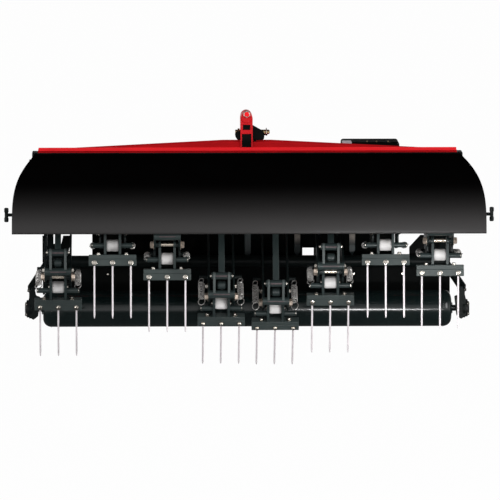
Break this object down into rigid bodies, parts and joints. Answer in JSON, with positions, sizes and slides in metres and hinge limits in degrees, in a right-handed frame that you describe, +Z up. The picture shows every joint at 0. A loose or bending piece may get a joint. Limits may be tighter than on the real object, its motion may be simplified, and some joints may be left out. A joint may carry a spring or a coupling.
{
  "type": "deep tine aerator",
  "caption": "Tractor-mounted deep tine turf aerator: red top frame with hitch mast, bent black hood, swinging sprung tine heads on a crankshaft, and a full-width ground roller.",
  "frame": {"origin": "midpoint between the two lower hitch pins", "axes": "+X to the machine's right seen from behind, +Y forwards to the tractor, +Z up"},
  "size_m": [1.998, 0.7412, 1.0553],
  "materials": {
    "red_paint": "gloss enamel",
    "black_paint": "semi-gloss enamel",
    "hood_paint": "semi-gloss powder coat",
    "bright_steel": "ground and zinc plated",
    "spring_steel": "oiled spring wire",
    "yellow_zinc": "yellow zinc plate",
    "white_plastic": "moulded"
  },
  "bodies": {
    "frame": {"hitch_frame": "red_paint", "top_link_pin": "yellow_zinc", "left_side_plate": "black_paint", "right_side_plate": "black_paint", "pivot_shaft": "bright_steel", "front_tube": "black_paint", "gearbox": "black_paint"},
    "crank_assembly": {"crankshaft": "black_paint"},
    "power_input": {"input_shaft": "bright_steel"},
    "rear_hood": {"hood": "hood_paint"},
    "roller_carrier": {"roller_frame": "black_paint"},
    "ground_roller": {"roller": "black_paint"},
    "head_1": {"arm_1": "black_paint", "left_spring_1": "spring_steel", "right_spring_1": "spring_steel"},
    "rod_1": {"connecting_rod_1": "black_paint"},
    "holder_1": {"tine_holder_1": "black_paint", "bumper_1": "white_plastic"},
    "head_2": {"arm_2": "black_paint", "left_spring_2": "spring_steel", "right_spring_2": "spring_steel"},
    "rod_2": {"connecting_rod_2": "black_paint"},
    "holder_2": {"tine_holder_2": "black_paint", "bumper_2": "white_plastic"},
    "head_3": {"arm_3": "black_paint", "left_spring_3": "spring_steel", "right_spring_3": "spring_steel"},
    "rod_3": {"connecting_rod_3": "black_paint"},
    "holder_3": {"tine_holder_3": "black_paint", "bumper_3": "white_plastic"},
    "head_4": {"arm_4": "black_paint", "left_spring_4": "spring_steel", "right_spring_4": "spring_steel"},
    "rod_4": {"connecting_rod_4": "black_paint"},
    "holder_4": {"tine_holder_4": "black_paint", "bumper_4": "white_plastic"},
    "head_5": {"arm_5": "black_paint", "left_spring_5": "spring_steel", "right_spring_5": "spring_steel"},
    "rod_5": {"connecting_rod_5": "black_paint"},
    "holder_5": {"tine_holder_5": "black_paint", "bumper_5": "white_plastic"},
    "head_6": {"arm_6": "black_paint", "left_spring_6": "spring_steel", "right_spring_6": "spring_steel"},
    "rod_6": {"connecting_rod_6": "black_paint"},
    "holder_6": {"tine_holder_6": "black_paint", "bumper_6": "white_plastic"},
    "head_7": {"arm_7": "black_paint", "left_spring_7": "spring_steel", "right_spring_7": "spring_steel"},
    "rod_7": {"connecting_rod_7": "black_paint"},
    "holder_7": {"tine_holder_7": "black_paint", "bumper_7": "white_plastic"},
    "head_8": {"arm_8": "black_paint", "left_spring_8": "spring_steel", "right_spring_8": "spring_steel"},
    "rod_8": {"connecting_rod_8": "black_paint"},
    "holder_8": {"tine_holder_8": "black_paint", "bumper_8": "white_plastic"}
  },
  "joints": [
    {"name": "crank_turn", "type": "hinge", "parent": "frame", "child": "crank_assembly", "pos_m": [0, -0.37, 0.21], "axis": [1, 0, 0], "continuous": true},
    {"name": "input_turn", "type": "hinge", "parent": "frame", "child": "power_input", "pos_m": [0.44, -0.06, 0.24], "axis": [0, 1, 0], "continuous": true},
    {"name": "hood_lift", "type": "hinge", "parent": "frame", "child": "rear_hood", "pos_m": [0, -0.3563, 0.37], "axis": [-1, 0, 0], "range_deg": [0, 75]},
    {"name": "working_depth", "type": "hinge", "parent": "frame", "child": "roller_carrier", "pos_m": [0, -0.11, 0.045], "axis": [1, 0, 0], "range_deg": [-6, 12]},
    {"name": "roller_turn", "type": "hinge", "parent": "roller_carrier", "child": "ground_roller", "pos_m": [0, -0.29, -0.275], "axis": [1, 0, 0], "continuous": true},
    {"name": "head_1_stroke", "type": "hinge", "parent": "frame", "child": "head_1", "pos_m": [-0.777, -0.23, 0.066], "axis": [1, 0, 0], "range_deg": [-33, 24]},
    {"name": "rod_1_pin", "type": "hinge", "parent": "head_1", "child": "rod_1", "pos_m": [-0.777, -0.64991, -0.00455], "axis": [1, 0, 0], "range_deg": [-8, 8]},
    {"name": "holder_1_kick", "type": "hinge", "parent": "head_1", "child": "holder_1", "pos_m": [-0.777, -0.61442, -0.10761], "axis": [-1, 0, 0], "range_deg": [0, 30], "stiffness_Nm_per_rad": 60, "springref_deg": -20.05, "deforming": ["left_spring_1", "right_spring_1"]},
    {"name": "head_2_stroke", "type": "hinge", "parent": "frame", "child": "head_2", "pos_m": [-0.555, -0.23, 0.066], "axis": [1, 0, 0], "range_deg": [-6, 51]},
    {"name": "rod_2_pin", "type": "hinge", "parent": "head_2", "child": "rod_2", "pos_m": [-0.555, -0.63617, 0.19377], "axis": [1, 0, 0], "range_deg": [-8, 8]},
    {"name": "holder_2_kick", "type": "hinge", "parent": "head_2", "child": "holder_2", "pos_m": [-0.555, -0.65134, 0.08583], "axis": [-1, 0, 0], "range_deg": [0, 30], "stiffness_Nm_per_rad": 60, "springref_deg": -20.05, "deforming": ["left_spring_2", "right_spring_2"]},
    {"name": "head_3_stroke", "type": "hinge", "parent": "frame", "child": "head_3", "pos_m": [-0.333, -0.23, 0.066], "axis": [1, 0, 0], "range_deg": [-14, 43]},
    {"name": "rod_3_pin", "type": "hinge", "parent": "head_3", "child": "rod_3", "pos_m": [-0.333, -0.65, 0.136], "axis": [1, 0, 0], "range_deg": [-8, 8]},
    {"name": "holder_3_kick", "type": "hinge", "parent": "head_3", "child": "holder_3", "pos_m": [-0.333, -0.65, 0.027], "axis": [-1, 0, 0], "range_deg": [0, 30], "stiffness_Nm_per_rad": 60, "springref_deg": -20.05, "deforming": ["left_spring_3", "right_spring_3"]},
    {"name": "head_4_stroke", "type": "hinge", "parent": "frame", "child": "head_4", "pos_m": [-0.111, -0.23, 0.066], "axis": [1, 0, 0], "range_deg": [-47, 10]},
    {"name": "rod_4_pin", "type": "hinge", "parent": "head_4", "child": "rod_4", "pos_m": [-0.111, -0.62037, -0.10404], "axis": [1, 0, 0], "range_deg": [-8, 8]},
    {"name": "holder_4_kick", "type": "hinge", "parent": "head_4", "child": "holder_4", "pos_m": [-0.111, -0.561, -0.19546], "axis": [-1, 0, 0], "range_deg": [0, 30], "stiffness_Nm_per_rad": 60, "springref_deg": -20.05, "deforming": ["left_spring_4", "right_spring_4"]},
    {"name": "head_5_stroke", "type": "hinge", "parent": "frame", "child": "head_5", "pos_m": [0.111, -0.23, 0.066], "axis": [1, 0, 0], "range_deg": [-52, 5]},
    {"name": "rod_5_pin", "type": "hinge", "parent": "head_5", "child": "rod_5", "pos_m": [0.111, -0.60406, -0.13742], "axis": [1, 0, 0], "range_deg": [-8, 8]},
    {"name": "holder_5_kick", "type": "hinge", "parent": "head_5", "child": "holder_5", "pos_m": [0.111, -0.53695, -0.22331], "axis": [-1, 0, 0], "range_deg": [0, 30], "stiffness_Nm_per_rad": 60, "springref_deg": -20.05, "deforming": ["left_spring_5", "right_spring_5"]},
    {"name": "head_6_stroke", "type": "hinge", "parent": "frame", "child": "head_6", "pos_m": [0.333, -0.23, 0.066], "axis": [1, 0, 0], "range_deg": [-30, 27]},
    {"name": "rod_6_pin", "type": "hinge", "parent": "head_6", "child": "rod_6", "pos_m": [0.333, -0.65302, 0.01752], "axis": [1, 0, 0], "range_deg": [-8, 8]},
    {"name": "holder_6_kick", "type": "hinge", "parent": "head_6", "child": "holder_6", "pos_m": [0.333, -0.62298, -0.08726], "axis": [-1, 0, 0], "range_deg": [0, 30], "stiffness_Nm_per_rad": 60, "springref_deg": -20.05, "deforming": ["left_spring_6", "right_spring_6"]},
    {"name": "head_7_stroke", "type": "hinge", "parent": "frame", "child": "head_7", "pos_m": [0.555, -0.23, 0.066], "axis": [1, 0, 0], "range_deg": [-6, 51]},
    {"name": "rod_7_pin", "type": "hinge", "parent": "head_7", "child": "rod_7", "pos_m": [0.555, -0.63617, 0.19377], "axis": [1, 0, 0], "range_deg": [-8, 8]},
    {"name": "holder_7_kick", "type": "hinge", "parent": "head_7", "child": "holder_7", "pos_m": [0.555, -0.65134, 0.08583], "axis": [-1, 0, 0], "range_deg": [0, 30], "stiffness_Nm_per_rad": 60, "springref_deg": -20.05, "deforming": ["left_spring_7", "right_spring_7"]},
    {"name": "head_8_stroke", "type": "hinge", "parent": "frame", "child": "head_8", "pos_m": [0.777, -0.23, 0.066], "axis": [1, 0, 0], "range_deg": [-12, 45]},
    {"name": "rod_8_pin", "type": "hinge", "parent": "head_8", "child": "rod_8", "pos_m": [0.777, -0.6473, 0.15061], "axis": [1, 0, 0], "range_deg": [-8, 8]},
    {"name": "holder_8_kick", "type": "hinge", "parent": "head_8", "child": "holder_8", "pos_m": [0.777, -0.65111, 0.04168], "axis": [-1, 0, 0], "range_deg": [0, 30], "stiffness_Nm_per_rad": 60, "springref_deg": -20.05, "deforming": ["left_spring_8", "right_spring_8"]}
  ],
  "couplings": [
    {"joint": "input_turn", "follows": "crank_turn", "ratio": 2.5},
    {"joint": "rod_1_pin", "follows": "head_1_stroke", "ratio": 0.17},
    {"joint": "rod_2_pin", "follows": "head_2_stroke", "ratio": 0.1},
    {"joint": "rod_3_pin", "follows": "head_3_stroke", "ratio": 0.1},
    {"joint": "rod_4_pin", "follows": "head_4_stroke", "ratio": 0.1},
    {"joint": "rod_5_pin", "follows": "head_5_stroke", "ratio": 0.1},
    {"joint": "rod_6_pin", "follows": "head_6_stroke", "ratio": 0.18},
    {"joint": "rod_7_pin", "follows": "head_7_stroke", "ratio": 0.1},
    {"joint": "rod_8_pin", "follows": "head_8_stroke", "ratio": 0.1}
  ]
}
